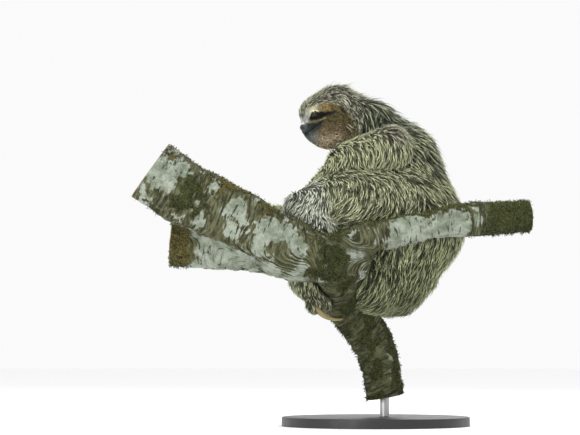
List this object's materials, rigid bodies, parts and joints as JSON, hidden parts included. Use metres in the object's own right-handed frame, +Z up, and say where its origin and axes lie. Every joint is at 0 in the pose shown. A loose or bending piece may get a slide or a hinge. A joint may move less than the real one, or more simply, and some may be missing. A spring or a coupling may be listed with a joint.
{
  "type": "three-toed sloth model",
  "caption": "Life-size still model of a brown-throated three-toed sloth curled in the fork of a mossy limb, on a display stand.",
  "frame": {"origin": "middle of the underside of the display stand's base, on the floor", "axes": "+Z up; the animal faces -X, its left side faces -Y, and the limb runs out towards -X"},
  "size_m": [0.577, 0.3358, 0.5103],
  "materials": {
    "coat": "coarse grey-brown hair, greenish with algae",
    "face": "short fine hair with a pale brow and a dark eye stripe",
    "eye": "wet, nearly black",
    "nose": "bare moist black skin",
    "claw": "worn yellow-brown horn",
    "bark": "grey bark with lichen and moss",
    "stand": "matt black",
    "rod": "brushed"
  },
  "bodies": {
    "root": {"perch_limb": "bark", "perch_stem": "bark", "perch_branch": "bark", "perch_spur": "bark", "stand_base": "stand", "stand_rod": "rod", "eye_left": "eye", "ear_left": "coat", "eye_right": "eye", "ear_right": "coat", "nose": "nose", "claw_hand_left_1": "claw", "claw_hand_left_2": "claw", "claw_hand_left_3": "claw", "claw_hand_right_1": "claw", "claw_hand_right_2": "claw", "claw_hand_right_3": "claw", "claw_foot_left_1": "claw", "claw_foot_left_2": "claw", "claw_foot_left_3": "claw", "claw_foot_right_1": "claw", "claw_foot_right_2": "claw", "claw_foot_right_3": "claw", "upper_arm_left": "coat", "forearm_left": "coat", "hand_left": "coat", "thigh_left": "coat", "shin_left": "coat", "foot_left": "coat", "upper_arm_right": "coat", "forearm_right": "coat", "hand_right": "coat", "thigh_right": "coat", "shin_right": "coat", "foot_right": "coat", "head": "face", "neck": "coat", "tail": "coat", "trunk": "coat"}
  },
  "joints": []
}
